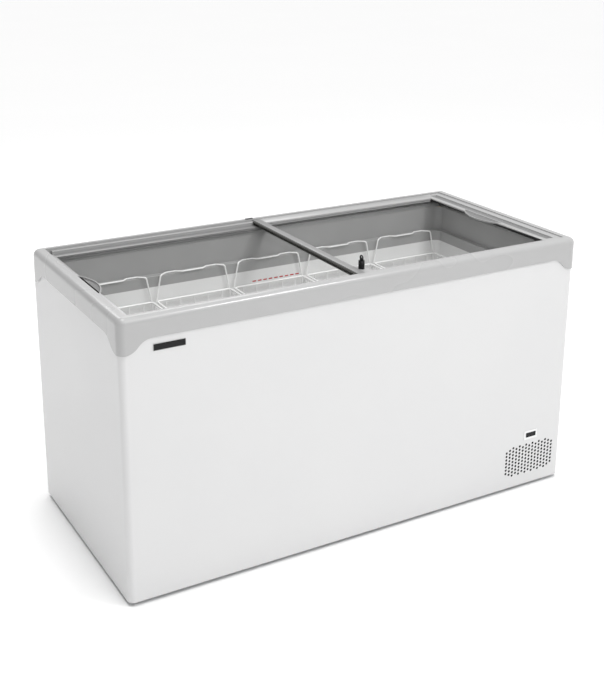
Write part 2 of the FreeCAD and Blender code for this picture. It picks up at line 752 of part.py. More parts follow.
def add_segment(sketch, sign, radius, half_turn, centre_back=None):
    """A circle's segment that bulges along X by sign, closed by its chord."""
    if centre_back is None:
        centre_back = radius * math.cos(half_turn)
    middle = 0 if sign > 0 else math.pi
    circle = Part.Circle(Vector(-sign * centre_back, 0, 0), Vector(0, 0, 1), radius)
    arc = Part.ArcOfCircle(circle, middle - half_turn, middle + half_turn)
    outline(sketch, arc, Part.LineSegment(arc.EndPoint, arc.StartPoint))


def make_lids():
    lower = SimpleNamespace(name="lower_lid", floor="lid_floor", reach=LOWER_LID_Y, left=f"(-{LID_X})",
                            right="(lower_lid_edge)", end_width="lower_end_width",
                            rear_slide="lower_rear_slide", is_upper=False)
    upper = SimpleNamespace(name="upper_lid", floor=UPPER_FLOOR, reach=UPPER_LID_Y, left="(-upper_lid_edge)",
                            right=LID_X, end_width="upper_end_width",
                            rear_slide="upper_rear_slide", is_upper=True)
    keep(make_lid(lower), "lower_lid_glass")
    upper_glass = make_lid(upper)
    notch = block("glass_notch", "-upper_lid_edge", "lock_across + 24", f"-{UPPER_LID_Y}", "lock_along + 32",
                  f"{UPPER_FLOOR} - 1", f"{UPPER_FLOOR} + lid_thick")
    keep(cut("upper_glass_cut", upper_glass, notch), "upper_lid_glass")
    brush = block("brush_block", "-upper_lid_edge - brush_thick", "-upper_lid_edge",
                  f"-({LOWER_LID_Y})", LOWER_LID_Y, f"{UPPER_FLOOR} - 2.4", f"{UPPER_FLOOR} + 8")
    keep(brush, "upper_lid_brush_seal")


# ---------------------------------------------------------------- lock
def make_lock():
    """A key lock on a flared corner block of the upper lid; its cam turns in the gap between the lids."""
    body = new_body("lock_bracket")
    flare = plane_sketch(body, "bracket_outline", "XY", UPPER_FLOOR)
    left = s.meeting_profile - s.upper_lid_edge
    front = -(upper_lid_y - s.slide_width)
    right = s.lock_across + 22
    back = s.lock_along + 32
    start = Vector(left, front, 0)
    outline(flare, Part.LineSegment(start, Vector(right, front, 0)),
            Part.Arc(Vector(right, front, 0), Vector(s.lock_across + 14, s.lock_along + 6, 0),
                     Vector(left, back, 0)),
            Part.LineSegment(Vector(left, back, 0), start))
    pad(body, flare, "lid_thick")
    hole = plane_sketch(body, "bracket_hole", "XY", f"{UPPER_FLOOR} + lid_thick")
    outline(hole, Part.Circle(Vector(s.lock_across, s.lock_along, 0), Vector(0, 0, 1), s.plug_radius + 0.3))
    pocket(body, hole, "lid_thick + 2")

    barrel_low = f"({UPPER_FLOOR} + lid_thick)"
    outer = upright_rod("barrel_outer", "barrel_radius", "lock_rise", "lock_across", "lock_along", barrel_low)
    bore = upright_rod("barrel_bore", "plug_radius + 0.05", "lock_rise + 2", "lock_across", "lock_along",
                       f"{barrel_low} - 1")
    keep(cut("barrel_cut", outer, bore), "lock_barrel")
    plug = upright_rod("plug_round", "plug_radius", "lock_rise + lid_thick + 0.4",
                       "lock_across", "lock_along", f"{UPPER_FLOOR} - 0.4")
    keyway = block("plug_keyway", "lock_across - 1", "lock_across + 1",
                   "lock_along - 4.4", "lock_along + 4.4",
                   f"{barrel_low} + lock_rise - 14", f"{barrel_low} + lock_rise + 1")
    keep(cut("plug_cut", plug, keyway), "lock_plug")
    cam = block("cam_plate", "lock_across - 5", "lock_across + 5", "lock_along - 5", "lock_along + 22",
                f"{UPPER_FLOOR} - 2", f"{UPPER_FLOOR} - 0.4")
    keep(cam, "lock_cam")
    make_key()


def make_key():
    top = upper_top + s.lock_rise
    blade = Part.makeBox(2, 7, 13, Vector(s.lock_across - 1, s.lock_along - 3.5, top - 13))
    bow = Part.makeCylinder(9, 2, Vector(s.lock_across - 1, s.lock_along, top + 7), Vector(1, 0, 0))
    neck = Part.makeBox(2, 8, 6, Vector(s.lock_across - 1, s.lock_along - 4, top))
    eye = Part.makeCylinder(3, 4, Vector(s.lock_across - 2, s.lock_along, top + 10), Vector(1, 0, 0))
    floor_cut = Part.makeBox(6, 30, 30, Vector(s.lock_across - 3, s.lock_along - 15, top - 30))
    head = bow.fuse(neck).cut(eye).cut(floor_cut)
    solid("lock_key", head.fuse(blade).removeSplitter())


# ---------------------------------------------------------------- baskets
def basket_handle(side, rim_y):
    """A bent wire: two legs outside the rim, shoulders that rest on the ledge and a dropped finger grip."""
    wire = s.handle_wire / 2
    rest_z = s.ledge_height + wire + 0.4
    shoulder_y = side * (tub_y + 7)
    leg_y = side * (rim_y + s.basket_rim_wire / 2 + wire + 0.2)
    grip_y = shoulder_y - side * s.grip_step
    foot_z = s.basket_rim_top - 34
    half = [(s.handle_foot, leg_y, foot_z), (s.handle_foot, leg_y, s.basket_rim_top - 10),
            (s.handle_top, leg_y, rest_z), (s.shoulder_half, shoulder_y, rest_z),
            (s.grip_half + s.grip_slope, shoulder_y, rest_z), (s.grip_half, grip_y, rest_z + 1)]
    points = half + [(-x, y, z) for x, y, z in reversed(half)]
    return bent_wire(points, wire, s.handle_bend)


def make_baskets():
    """Coated wire baskets that hang from the ledge; the thin cage wall stands for the wire grid."""
    rim_wire = s.basket_rim_wire / 2
    rim_x = s.basket_width / 2 - rim_wire
    rim_y = s.basket_depth / 2 - rim_wire
    rim_z = s.basket_rim_top - rim_wire
    corner = 10
    ring_points = [(rim_x, -rim_y, rim_z), (rim_x, rim_y, rim_z), (-rim_x, rim_y, rim_z),
                   (-rim_x, -rim_y, rim_z)]
    ring = bent_wire(ring_points, rim_wire, corner, closed=True)
    taper = 8
    wall = s.basket_wall

    def tray(inset, low, high):
        sections = []
        for level, shrink in ((low, taper), (high, 0)):
            across = rim_x + wall / 2 - inset - shrink
            deep = rim_y + wall / 2 - inset - shrink
            radius = corner + wall / 2 - inset
            sections.append(rounded_wire(across, deep, radius, level))
        return Part.makeLoft(sections, True, True)

    cage = tray(0, s.basket_floor, rim_z).cut(tray(wall, s.basket_floor + wall, rim_z + 0.01))
    cage = cage.cut(Part.makeBox(2 * s.basket_width, 2 * s.basket_depth, 20,
                                 Vector(-s.basket_width, -s.basket_depth, rim_z)))
    basket = cage.fuse(ring)
    handles = [basket_handle(side, rim_y) for side in (-1, 1)]
    for index in range(BASKETS):
        across = (index - (BASKETS - 1) / 2) * s.basket_pitch
        cage_part = solid(f"basket_{index + 1}", basket)
        cage_part.Placement = Placement(Vector(across, 0, 0), Rotation())
        handle_part = solid(f"basket_{index + 1}_handles", Part.makeCompound(handles))
        handle_part.Placement = Placement(Vector(across, 0, 0), Rotation())


def rounded_wire(across, deep, radius, level):
    """A rounded rectangle as one wire at a height."""
    quarter = math.pi / 2
    edges = []
    corners = [(1, -1, -quarter), (1, 1, 0), (-1, 1, quarter), (-1, -1, 2 * quarter)]
    for side_x, side_y, start in corners:
        centre = Vector(side_x * (across - radius), side_y * (deep - radius), level)
        circle = Part.Circle(centre, Vector(0, 0, 1), radius)
        edges.append(Part.ArcOfCircle(circle, start, start + quarter).toShape())
    joined = []
    for index, arc in enumerate(edges):
        joined.append(arc)
        following = edges[(index + 1) % 4]
        joined.append(Part.LineSegment(arc.Vertexes[-1].Point, following.Vertexes[0].Point).toShape())
    return Part.Wire(joined)


# ---------------------------------------------------------------- refrigeration
def make_evaporator():
    """One tube wound round the tub, pressed against the liner inside the foam."""
    radius = s.coil_tube / 2 - 0.1
    x_line = tub_x + s.liner_skin + s.coil_tube / 2
    y_line = tub_y + s.liner_skin + s.coil_tube / 2
    points = []
    for turn in range(COIL_TURNS):
        level = s.coil_start + turn * s.coil_pitch
        points += [(55, -y_line, level), (x_line, -y_line, level), (x_line, y_line, level),
                   (-x_line, y_line, level), (-x_line, -y_line, level), (-55, -y_line, level)]
    bend = s.liner_round + s.liner_skin + s.coil_tube / 2
    solid("evaporator_coil", bent_wire(points, radius, bend))


def make_compressor():
    """A welded steel pot on a foot plate, with its relay box on the side."""
    across, along, low = s.fan_across, s.compressor_along, mount_top
    body = new_body("compressor")
    half = plane_sketch(body, "pot_section", "XZ", "-compressor_along")
    radius = s.compressor_radius
    dome = 40
    bottom = low + 4
    top = bottom + s.compressor_tall
    dome_x = across + radius - dome
    rim_x = across + radius
    normal = Vector(0, 0, 1)
    outline(half, Part.LineSegment(Vector(across, bottom, 0), Vector(dome_x, bottom, 0)),
            Part.ArcOfCircle(Part.Circle(Vector(dome_x, bottom + dome, 0), normal, dome),
                             1.5 * math.pi, 2 * math.pi),
            Part.LineSegment(Vector(rim_x, bottom + dome, 0), Vector(rim_x, top - dome, 0)),
            Part.ArcOfCircle(Part.Circle(Vector(dome_x, top - dome, 0), normal, dome), 0, 0.5 * math.pi),
            Part.LineSegment(Vector(dome_x, top, 0), Vector(across, top, 0)),
            Part.LineSegment(Vector(across, top, 0), Vector(across, bottom, 0)))
    half.addGeometry(Part.LineSegment(Vector(across, 0, 0), Vector(across, top, 0)), True)
    spin = body.newObject("PartDesign::Revolution", "pot")
    spin.Profile = half
    spin.ReferenceAxis = (half, ["Axis0"])
    spin.Angle = 360
    feet = plane_sketch(body, "pot_feet", "XY", str(low))
    rectangle(feet, str(across - 90), str(across + 90), str(along - 60), str(along + 60))
    pad(body, feet, "5")
    bolts = plane_sketch(body, "pot_bolt_holes", "XY", str(low + 5))
    bolt_places = [Vector(across + side_x * 80, along + side_y * 50, 0)
                   for side_x in (-1, 1) for side_y in (-1, 1)]
    for place in bolt_places:
        outline(bolts, Part.Circle(place, normal, 6))
    pocket(body, bolts, "6")
    make_compressor_mounts(bolt_places, low - base_top)
    relay = block("relay_block", str(across - 25), str(across + 25), str(along - radius - 34),
                  str(along - radius - 0.5), str(low + 50), str(low + 110))
    keep(relay, "start_relay")


def make_compressor_mounts(places, rise):
    """Rubber grommets under the foot plate, each held by a stud with its nut."""
    up = Vector(0, 0, 1)
    grommets = []
    studs = []
    for place in places:
        foot = place + up * base_top
        pillar = Part.makeCylinder(11, rise, foot, up)
        neck = Part.makeCylinder(5.8, 8, foot + up * rise, up)
        bore = Part.makeCylinder(4, 60, foot - up, up)
        grommets.append(pillar.fuse(neck).cut(bore).removeSplitter())
        shank = Part.makeCylinder(3.8, rise + 12, foot, up)
        nut = Part.makeCylinder(8, 5, foot + up * (rise + 8.2), up)
        studs.append(shank.fuse(nut).removeSplitter())
    solid("compressor_mounts", Part.makeCompound(grommets))
    solid("compressor_studs", Part.makeCompound(studs))


def make_condenser():
    """A finned serpentine behind the vent, with its fan behind it."""
    tube = 4
    front, back = -cabinet_y + 10, -cabinet_y + 56
    rows_y = (front + 12, back - 12)
    x_low, x_high = 524, 720
    heights = [42 + 26 * level for level in range(5)]
    rods = [Part.makeCylinder(tube + 0.05, 300, Vector(x_low - 50, along, height), Vector(1, 0, 0))
            for height in heights for along in rows_y]
    blank = Part.makeBox(0.6, back - front, 130, Vector(x_low, front, 30))
    fin = blank.cut(Part.makeCompound(rods))
    fins = []
    margin = 10
    fin_count = 28
    for index in range(fin_count):
        copy = fin.copy()
        copy.translate(Vector(margin + index * (x_high - x_low - 2 * margin) / (fin_count - 1), 0, 0))
        fins.append(copy)
    solid("condenser_fins", Part.makeCompound(fins))
    ends = (x_low - 6, x_high + 6)
    points = []
    for along, levels in zip(rows_y, (heights, heights[::-1])):
        for height in levels:
            passes = ends if len(points) % 4 == 0 else ends[::-1]
            points += [(across, along, height) for across in passes]
    solid("condenser_tube", bent_wire(points, tube, 9))


def make_fan():
    across, height = s.fan_across, s.fan_height
    plate_y = -cabinet_y + 60
    toward_back = Vector(0, 1, 0)
    plate = Part.makeBox(210, 1.5, 140, Vector(across - 105, plate_y, height - 70))
    ring = Part.makeCylinder(s.fan_radius + 5, 22, Vector(across, plate_y, height), toward_back)
    throat = Part.makeCylinder(s.fan_radius + 3, 40, Vector(across, plate_y - 5, height), toward_back)
    arms = Part.makeBox(2 * s.fan_radius + 9, 4, 8,
                        Vector(across - s.fan_radius - 4.5, plate_y + 22, height - 4))
    arms = arms.fuse(Part.makeBox(8, 4, 2 * s.fan_radius + 9,
                                  Vector(across - 4, plate_y + 22, height - s.fan_radius - 4.5)))
    motor_hole = Part.makeCylinder(26, 12, Vector(across, plate_y + 20, height), toward_back)
    solid("fan_shroud", plate.fuse(ring).cut(throat).fuse(arms.cut(motor_hole)).removeSplitter())
    case = Part.makeCylinder(26, 40, Vector(across, plate_y + 22, height), toward_back)
    shaft = Part.makeCylinder(2.5, 22, Vector(across, plate_y + 1, height), toward_back)
    solid("fan_motor", case.fuse(shaft).removeSplitter())
    hub = Part.makeCylinder(17, 14, Vector(across, plate_y + 3, height), toward_back)
    rotor = hub
    for blade in range(5):
        vane = Part.makeBox(34, 1.6, s.fan_radius - 14, Vector(-17, -0.8, 14))
        vane.rotate(Vector(), Vector(0, 0, 1), 22)
        vane.rotate(Vector(), Vector(0, 1, 0), blade * 72)
        vane.translate(Vector(across, plate_y + 10, height))
        rotor = rotor.fuse(vane)
    rim = Part.makeCylinder(s.fan_radius, 40, Vector(across, plate_y - 10, height), toward_back)
    bore = Part.makeCylinder(2.55, 40, Vector(across, plate_y - 10, height), toward_back)
    solid("fan_blade", rotor.common(rim).cut(bore).removeSplitter())


def make_lines():
    """Filter drier and the refrigerant tubes of the bay."""
    across, along = s.fan_across, s.compressor_along
    drier_x, drier_y = 528, -40
    can = Part.makeCylinder(10, 70, Vector(drier_x, drier_y, 150), Vector(0, 0, 1))
    for low, high, start in ((10, 3, 220), (3, 10, 138)):
        can = can.fuse(Part.makeCone(low, high, 12, Vector(drier_x, drier_y, start)))
    solid("filter_drier", can.removeSplitter())
    pot_top = mount_top + 4 + s.compressor_tall
    wall = s.bay_face + 1
    suction = [(across - 20, along, pot_top), (across - 20, along, pot_top + 30),
               (across - 20, 250, pot_top + 30), (wall, 250, pot_top + 30)]
    discharge = [(across + 24, along, pot_top), (across + 24, along, pot_top + 22),
                 (across + 24, -225, pot_top + 22), (across + 108, -225, pot_top + 22),
                 (across + 108, -225, 60)]
    capillary = [(drier_x, drier_y, 233), (drier_x, drier_y, 262), (drier_x, 60, 262), (wall, 60, 262)]
    lines = [bent_wire(suction, 4, 12), bent_wire(discharge, 3, 10), bent_wire(capillary, 1.5, 8)]
    solid("refrigerant_lines", Part.makeCompound(lines))


# ---------------------------------------------------------------- services and running gear
def make_services():
    back = cabinet_y
    toward_back = Vector(0, 1, 0)
    flange = Part.makeCylinder(12, 2, Vector(s.gland_across, back, s.gland_height), toward_back)
    neck = Part.makeCylinder(7.9, 14, Vector(s.gland_across, back - 12, s.gland_height), toward_back)
    bore = Part.makeCylinder(4, 40, Vector(s.gland_across, back - 20, s.gland_height), toward_back)
    solid("power_cord_gland", flange.fuse(neck).cut(bore).removeSplitter())

    drain_x, drain_y = s.drain_across, s.drain_along
    up = Vector(0, 0, 1)
    tube = Part.makeCylinder(11.8, s.floor_height - s.ground_gap, Vector(drain_x, drain_y, s.ground_gap), up)
    tube = tube.cut(Part.makeCylinder(9, 100, Vector(drain_x, drain_y, 0), up))
    solid("drain_tube", tube)
    stem = Part.makeCylinder(8.9, 14, Vector(drain_x, drain_y, s.floor_height - 14), up)
    cap = Part.makeCylinder(15, 4, Vector(drain_x, drain_y, s.floor_height + 0.3), up)
    link = Part.makeCylinder(8.9, 0.6, Vector(drain_x, drain_y, s.floor_height - 0.1), up)
    tab = Part.makeBox(14, 3, 9, Vector(drain_x - 7, drain_y - 1.5, s.floor_height + 4))
    solid("drain_plug", stem.fuse(link).fuse(cap).fuse(tab).removeSplitter())

    screws = []
    for across in (-700, -350, 0, 350, 700):
        for height in (30, 700):
            place = Vector(across, back, height)
            screws.append(Part.makeCylinder(4.5, 1.8, place, toward_back))
    solid("back_panel_screws", Part.makeCompound(screws))


def make_running_gear():
    """Two fixed feet at the front and two rollers let into the base at the rear."""
    feet = []
    for side in (-1, 1):
        place = Vector(side * 690, -285, 0)
        disc = Part.makeCone(s.foot_radius - 4, s.foot_radius, s.ground_gap, place)
        feet.append(disc)
    solid("front_feet", Part.makeCompound(feet))
    brackets = []
    axles = []
    across_axis = Vector(1, 0, 0)
    half_width = s.roller_width / 2
    for side in (-1, 1):
        middle = side * s.roller_across
        cheeks = []
        for cheek in (-1, 1):
            inner = middle + cheek * (half_width + 1)
            low = inner if cheek > 0 else inner - 2
            cheeks.append(Part.makeBox(2, 40, 32, Vector(low, s.roller_along - 20, s.ground_gap)))
        roof = Part.makeBox(2 * half_width + 6, 40, 2,
                            Vector(middle - half_width - 3, s.roller_along - 20, s.ground_gap + 30))
        bracket = cheeks[0].fuse(cheeks[1]).fuse(roof)
        axle_start = Vector(middle - half_width - 5, s.roller_along, s.roller_radius)
        axle = Part.makeCylinder(s.axle_radius, 2 * half_width + 10, axle_start, across_axis)
        bracket = bracket.cut(axle).removeSplitter()
        brackets.append(bracket)
        axles.append(axle)
    solid("roller_brackets", Part.makeCompound(brackets))
    solid("roller_axles", Part.makeCompound(axles))
    for name, side in (("left", -1), ("right", 1)):
        middle = side * s.roller_across
        start = Vector(middle - half_width, s.roller_along, s.roller_radius)
        wheel = Part.makeCylinder(s.roller_radius, s.roller_width, start, across_axis)
        wheel = wheel.makeFillet(2, [edge for edge in wheel.Edges if len(edge.Vertexes) == 1])
        wheel = wheel.cut(Part.makeCylinder(s.axle_radius + 0.08, 100, start - across_axis * 20, across_axis))
        solid(f"rear_roller_{name}", wheel)


# ---------------------------------------------------------------- build, check and write
make_outer_wrap()
make_back_panel()
make_base_panel()
make_foam()
make_liner()
make_collar()
make_top_frame()
make_tracks()
make_bay_panel()
make_front_details()
make_load_marks()
make_lids()
make_lock()
make_baskets()
make_evaporator()
make_compressor()
make_condenser()
make_fan()
make_lines()
make_services()
make_running_gear()
doc.recompute()

faults = [thing.Name for thing in doc.Objects if {"Invalid", "Error"} & set(thing.State)]
for part in sub_parts:
    if part.Shape.isNull() or not part.Shape.isValid():
        faults.append(part.Label)
if faults:
    raise SystemExit("failed: " + ", ".join(faults))

os.makedirs("parts", exist_ok=True)
for part in sub_parts:
    part.Shape.exportStep(f"parts/{part.Label}.step")
    print(f"{part.Label:32s} {part.Shape.Volume / 1000:10.2f} cm3  {len(part.Shape.Solids)} solid(s)")
print(len(sub_parts), "parts")
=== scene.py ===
"""The looks of a glass-topped chest freezer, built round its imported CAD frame.

Metres, +Z up, +X to the right seen from the front, front at -Y, origin on the floor below the middle.
"""

import json
import math
import random

import bmesh
import bpy
from mathutils import Matrix, Quaternion, Vector


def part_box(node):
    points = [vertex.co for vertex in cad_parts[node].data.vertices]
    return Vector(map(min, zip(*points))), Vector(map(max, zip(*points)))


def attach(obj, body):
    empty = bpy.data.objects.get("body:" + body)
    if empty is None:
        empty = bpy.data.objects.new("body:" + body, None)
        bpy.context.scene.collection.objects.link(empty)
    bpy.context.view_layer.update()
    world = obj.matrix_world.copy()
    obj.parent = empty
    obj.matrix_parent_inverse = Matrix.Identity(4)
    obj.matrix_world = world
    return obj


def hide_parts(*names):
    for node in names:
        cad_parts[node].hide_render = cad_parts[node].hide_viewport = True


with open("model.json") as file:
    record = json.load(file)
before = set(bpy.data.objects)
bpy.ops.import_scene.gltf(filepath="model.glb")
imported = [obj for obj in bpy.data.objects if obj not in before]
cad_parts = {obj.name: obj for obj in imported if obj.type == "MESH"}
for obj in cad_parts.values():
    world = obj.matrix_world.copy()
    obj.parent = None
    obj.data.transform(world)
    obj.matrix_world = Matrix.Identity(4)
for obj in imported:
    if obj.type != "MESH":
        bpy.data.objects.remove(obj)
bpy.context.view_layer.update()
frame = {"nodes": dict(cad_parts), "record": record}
MM = 0.001
BASKETS = 5
SHARP_ANGLE = math.radians(35)
random.seed(7)


# ---------------------------------------------------------------- building materials from nodes
class Look:
    """One Principled material and the short calls that give it grain, bumps and colour variation."""

    def __init__(self, name, colour, roughness, **sockets):
        self.material = bpy.data.materials.new(name)
        self.material.use_nodes = True
        self.tree = self.material.node_tree
        self.shader = self.tree.nodes["Principled BSDF"]
        self.colour = (*colour, 1)
        self.shader.inputs["Base Color"].default_value = self.colour
        self.shader.inputs["Roughness"].default_value = roughness
        self.roughness = roughness
        for socket, value in sockets.items():
            self.shader.inputs[socket.replace("_", " ")].default_value = value
        self.normal = None
        place = self.tree.nodes.new("ShaderNodeTexCoord")
        self.place = place.outputs["Object"]

    def node(self, kind, **settings):
        made = self.tree.nodes.new(kind)
        for name, value in settings.items():
            setattr(made, name, value)
        return made

    def join(self, source, target):
        self.tree.links.new(source, target)

    def stretched(self, along):
        """The object's coordinates, squeezed along an axis so that a pattern runs in long streaks."""
        mapping = self.node("ShaderNodeMapping")
        mapping.inputs["Scale"].default_value = along
        self.join(self.place, mapping.inputs["Vector"])
        return mapping.outputs["Vector"]

    def noise(self, size, detail=3, vector=None, distortion=0):
        """Noise whose blobs are about size metres across."""
        made = self.node("ShaderNodeTexNoise")
        made.inputs["Scale"].default_value = 1 / size
        made.inputs["Detail"].default_value = detail
        made.inputs["Distortion"].default_value = distortion
        self.join(vector or self.place, made.inputs["Vector"])
        return made.outputs["Fac"]

    def cells(self, size, output="Distance"):
        """A pattern of cells about size metres across."""
        made = self.node("ShaderNodeTexVoronoi")
        made.inputs["Scale"].default_value = 1 / size
        self.join(self.place, made.inputs["Vector"])
        return made.outputs[output]

    def between(self, value, low, high, start=0.0, end=1.0):
        """Maps value from the range start..end to low..high."""
        made = self.node("ShaderNodeMapRange")
        for socket, number in (("From Min", start), ("From Max", end), ("To Min", low), ("To Max", high)):
            made.inputs[socket].default_value = number
        self.join(value, made.inputs["Value"])
        return made.outputs["Result"]

    def tint(self, value, other, start=0.35, end=0.65):
        """Blends the colour towards another one where value is high."""
        ramp = self.node("ShaderNodeValToRGB")
        ramp.color_ramp.elements[0].position = start
        ramp.color_ramp.elements[0].color = self.colour
        ramp.color_ramp.elements[1].position = end
        ramp.color_ramp.elements[1].color = (*other, 1)
        self.join(value, ramp.inputs["Fac"])
        self.join(ramp.outputs["Color"], self.shader.inputs["Base Color"])
        return self

    def rough(self, value, spread):
        """Lets the roughness wander by spread each way."""
        mapped = self.between(value, self.roughness - spread, self.roughness + spread, 0.3, 0.7)
        self.join(mapped, self.shader.inputs["Roughness"])
        return self

    def bump(self, value, depth, strength=1.0):
        """Raises the surface by up to depth metres where value is high; later bumps lie on earlier ones."""
        made = self.node("ShaderNodeBump")
        made.inputs["Distance"].default_value = depth
        made.inputs["Strength"].default_value = strength
        self.join(value, made.inputs["Height"])
        if self.normal:
            self.join(self.normal, made.inputs["Normal"])
        self.normal = made.outputs["Normal"]
        self.join(self.normal, self.shader.inputs["Normal"])
        return self


def painted_steel(name, colour, shade, roughness=0.3):
    """Powder paint: gentle orange peel, with a gloss and a white that wander very slightly."""
    look = Look(name, colour, roughness, Coat_Weight=0.15, Coat_Roughness=0.12)
    look.tint(look.noise(0.35, 4), shade)
    look.rough(look.noise(0.3, 1), 0.015)
    look.bump(look.noise(0.06, 1), 0.00003, 0.1)
    return look.material


def moulded(name, colour, shade, roughness=0.36, coat=0.1):
    """Moulded plastic with faint flow marks and a gloss that wanders a little."""
    look = Look(name, colour, roughness, Coat_Weight=coat, Coat_Roughness=0.14, IOR=1.5)
    look.tint(look.noise(0.25, 3, distortion=0.6), shade)
    look.rough(look.noise(0.2, 1), 0.015)
    look.bump(look.noise(0.05, 1), 0.00003, 0.1)
    return look.material


def extruded(name, colour, shade, squeeze, roughness=0.34):
    """A drawn profile: fine lines run the way it was pulled."""
    look = Look(name, colour, roughness, Coat_Weight=0.1, Coat_Roughness=0.2)
    lines = look.noise(0.004, 3, look.stretched(squeeze))
    look.tint(look.noise(0.09, 4), shade)
    look.rough(lines, 0.02)
    look.bump(lines, 0.00002, 0.1)
    return look.material


def galvanised(name):
    """Zinc-coated sheet with its spangle of flat crystals."""
    look = Look(name, (0.46, 0.47, 0.48), 0.42, Metallic=0.85)
    spangle = look.cells(0.012, "Color")
    grey = look.node("ShaderNodeRGBToBW")
    look.join(spangle, grey.inputs["Color"])
    look.tint(grey.outputs["Val"], (0.60, 0.61, 0.62), 0.1, 0.9)
    look.rough(grey.outputs["Val"], 0.12)
    look.bump(look.noise(0.003, 3), 0.00006, 0.4)
    return look.material


def foam(name):
    """Rigid yellow foam: small open cells over a lumpy surface."""
    look = Look(name, (0.78, 0.62, 0.30), 0.85)
    look.tint(look.noise(0.03, 5), (0.62, 0.44, 0.17))
    look.bump(look.cells(0.0015), 0.0006, 0.7)
    look.bump(look.noise(0.012, 4), 0.002, 0.5)
    return look.material


def liner(name):
    """White coated aluminium sheet with a shallow stucco emboss."""
    look = Look(name, (0.87, 0.87, 0.865), 0.38, Coat_Weight=0.1)
    look.tint(look.noise(0.2, 2), (0.85, 0.85, 0.845))
    look.rough(look.noise(0.02, 3), 0.05)
    look.bump(look.noise(0.009, 2), 0.0004, 0.2)
    return look.material


def glass(name):
    """A clear pane: see-through face on, more mirror-like at a low angle, with faint smears."""
    clear_colour = (0.988, 0.989, 0.989)
    look = Look(name, clear_colour, 0.03)
    facing = look.node("ShaderNodeLayerWeight")
    facing.inputs["Blend"].default_value = 0.5
    steep = look.node("ShaderNodeMath", operation="POWER")
    mirror_falloff = 4.0
    steep.inputs[1].default_value = mirror_falloff
    look.join(facing.outputs["Facing"], steep.inputs[0])
    mirror_share = look.between(steep.outputs[0], 0.005, 0.09)
    smear = look.between(look.noise(0.3, 5, distortion=1.2), 0.96, 1.08, 0.35, 0.7)
    share = look.node("ShaderNodeMath", operation="MULTIPLY")
    look.join(mirror_share, share.inputs[0])
    look.join(smear, share.inputs[1])
    clear = look.node("ShaderNodeBsdfTransparent")
    clear.inputs["Color"].default_value = (*clear_colour, 1)
    gloss = look.node("ShaderNodeBsdfGlossy")
    gloss.inputs["Roughness"].default_value = look.roughness
    gloss.inputs["Color"].default_value = (0.97, 0.97, 0.97, 1)
    blend = look.node("ShaderNodeMixShader")
    look.join(share.outputs[0], blend.inputs[0])
    look.join(clear.outputs[0], blend.inputs[1])
    look.join(gloss.outputs[0], blend.inputs[2])
    look.tree.nodes.remove(look.shader)
    look.join(blend.outputs[0], look.tree.nodes["Material Output"].inputs["Surface"])
    return look.material


def bristle(name):
    """Stiff black nylon, a little lighter here and there."""
    look = Look(name, (0.012, 0.012, 0.009), 0.6, Sheen_Weight=0.1, Sheen_Roughness=0.4)
    look.tint(look.noise(0.004, 3), (0.024, 0.024, 0.018))
    look.rough(look.noise(0.002, 2), 0.1)
    return look.material


def rubber(name):
    """Dull black rubber with a fine grain."""
    look = Look(name, (0.022, 0.022, 0.023), 0.7)
    look.tint(look.noise(0.02, 5), (0.04, 0.04, 0.041))
    look.rough(look.noise(0.006, 4), 0.1)
    look.bump(look.noise(0.0011, 3), 0.0001, 0.5)
    return look.material


def gloss_black(name):
    """Polished black plastic, wiped but not spotless."""
    look = Look(name, (0.008, 0.008, 0.0085), 0.16, Specular_IOR_Level=0.2)
    look.tint(look.noise(0.02, 4), (0.011, 0.011, 0.012))
    look.rough(look.noise(0.004, 5), 0.04)
    return look.material


def filter_mat(name):
    """A mat of black open-cell foam that keeps dust out of the condenser."""
    look = Look(name, (0.006, 0.006, 0.006), 0.9, Specular_IOR_Level=0.1)
    look.tint(look.cells(0.0025), (0.014, 0.014, 0.014), 0.2, 0.8)
    look.bump(look.cells(0.0025), 0.0005, 0.6)
    return look.material


def metal(name, colour, shade, roughness=0.28, squeeze=(1, 1, 1)):
    """Bare or plated metal with brushed streaks and a little tarnish."""
    look = Look(name, colour, roughness, Metallic=1)
    streaks = look.noise(0.0014, 3, look.stretched(squeeze))
    look.tint(look.noise(0.03, 5), shade)
    look.rough(streaks, 0.09)
    look.bump(streaks, 0.00003, 0.4)
    return look.material


def coated_wire(name):
    """White dip coating: soft gloss, slightly uneven, a touch thicker in places."""
    look = Look(name, (0.94, 0.94, 0.935), 0.32, Coat_Weight=0.2, Coat_Roughness=0.15)
    look.tint(look.noise(0.02, 4), (0.91, 0.91, 0.905))
    look.rough(look.noise(0.006, 3), 0.06)
    look.bump(look.noise(0.006, 2), 0.0001, 0.2)
    return look.material


def enamel(name):
    """The compressor's black stove enamel, with a few runs and dust."""
    look = Look(name, (0.02, 0.02, 0.022), 0.38, Coat_Weight=0.2)
    look.tint(look.noise(0.05, 5), (0.06, 0.058, 0.055), 0.45, 0.8)
    look.rough(look.noise(0.01, 4), 0.1)
    look.bump(look.noise(0.004, 3), 0.0003, 0.4)
    return look.material


def ink(name):
    """Red printing ink, thinner in places."""
    look = Look(name, (0.62, 0.035, 0.03), 0.5)
    look.tint(look.noise(0.004, 4), (0.48, 0.03, 0.028))
    look.bump(look.noise(0.001, 2), 0.00003, 0.3)
    return look.material


